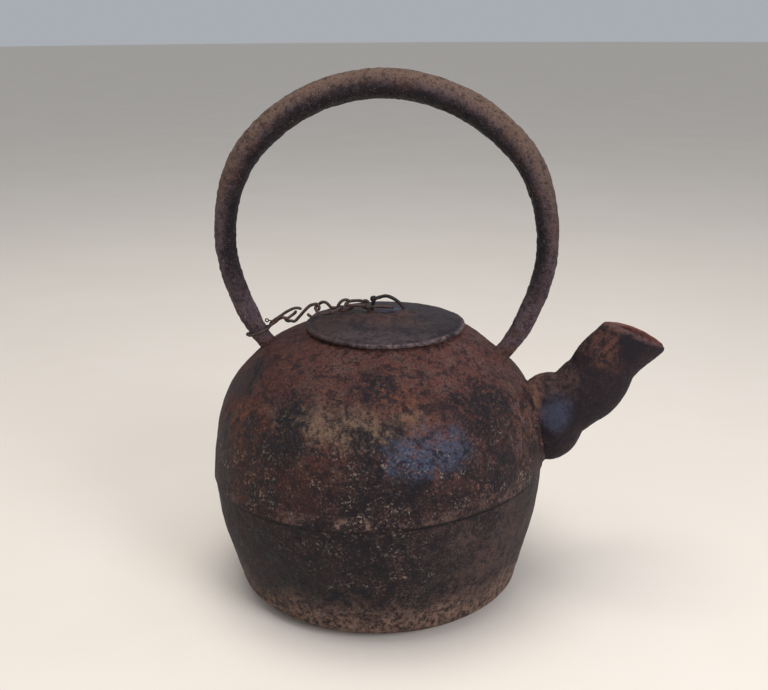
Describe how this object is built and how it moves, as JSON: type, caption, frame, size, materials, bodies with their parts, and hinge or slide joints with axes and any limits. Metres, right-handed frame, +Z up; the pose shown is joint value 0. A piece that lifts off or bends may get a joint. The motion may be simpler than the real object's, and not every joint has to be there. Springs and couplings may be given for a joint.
{
  "type": "cast iron kettle",
  "caption": "Round-bellied cast iron kettle with a beak spout, a tall fixed hoop handle and a loose sheet iron lid chained to the handle.",
  "frame": {"origin": "centre of the base, on the surface it stands on", "axes": "+Z up, +X toward the spout, -Y toward the side that faces the viewer"},
  "size_m": [0.3261, 0.2428, 0.3742],
  "materials": {
    "pot": "rusty cast skin with lime scale",
    "spout": "rusty cast skin with a blue-black burnish",
    "hoop": "hammered, dark brown rust",
    "lid": "dull sheet iron",
    "wire": "dull brown iron wire"
  },
  "bodies": {
    "kettle": {"kettle_body": "pot", "spout": "spout", "handle_hoop": "hoop"},
    "lid": {"lid": "lid", "lid_staple": "wire"},
    "collar": {"handle_collar": "wire"},
    "link_1": {"link_1": "wire"},
    "link_2": {"link_2": "wire"},
    "link_3": {"link_3": "wire"},
    "link_4": {"link_4": "wire"},
    "link_5": {"link_5": "wire"}
  },
  "joints": [
    {"name": "lid_tilt", "type": "hinge", "parent": "kettle", "child": "lid", "pos_m": [-0.0646, 0, 0.1992], "axis": [0, -1, 0], "range_deg": [0, 90]},
    {"name": "collar_turn", "type": "hinge", "parent": "kettle", "child": "collar", "pos_m": [-0.0869, 0, 0.1887], "axis": [0.5501, 0, -0.8351], "range_deg": [-2, 2]},
    {"name": "link_1_roll", "type": "hinge", "parent": "lid", "child": "link_1", "pos_m": [-0.0646, 0, 0.1992], "axis": [0.9252, 0, 0.3794], "range_deg": [-4, 4]},
    {"name": "link_2_roll", "type": "hinge", "parent": "lid", "child": "link_2", "pos_m": [-0.0446, 0, 0.2074], "axis": [0.9991, 0, 0.0421], "range_deg": [-6, 6]},
    {"name": "link_3_roll", "type": "hinge", "parent": "lid", "child": "link_3", "pos_m": [-0.0256, 0, 0.2082], "axis": [0.8137, 0, 0.5812], "range_deg": [-6, 6]},
    {"name": "link_4_roll", "type": "hinge", "parent": "lid", "child": "link_4", "pos_m": [-0.0228, 0, 0.2102], "axis": [0.9991, 0, 0.0416], "range_deg": [-6, 6]},
    {"name": "link_5_roll", "type": "hinge", "parent": "lid", "child": "link_5", "pos_m": [-0.0084, 0, 0.2108], "axis": [0.8725, 0, -0.4886], "range_deg": [-6, 6]}
  ]
}
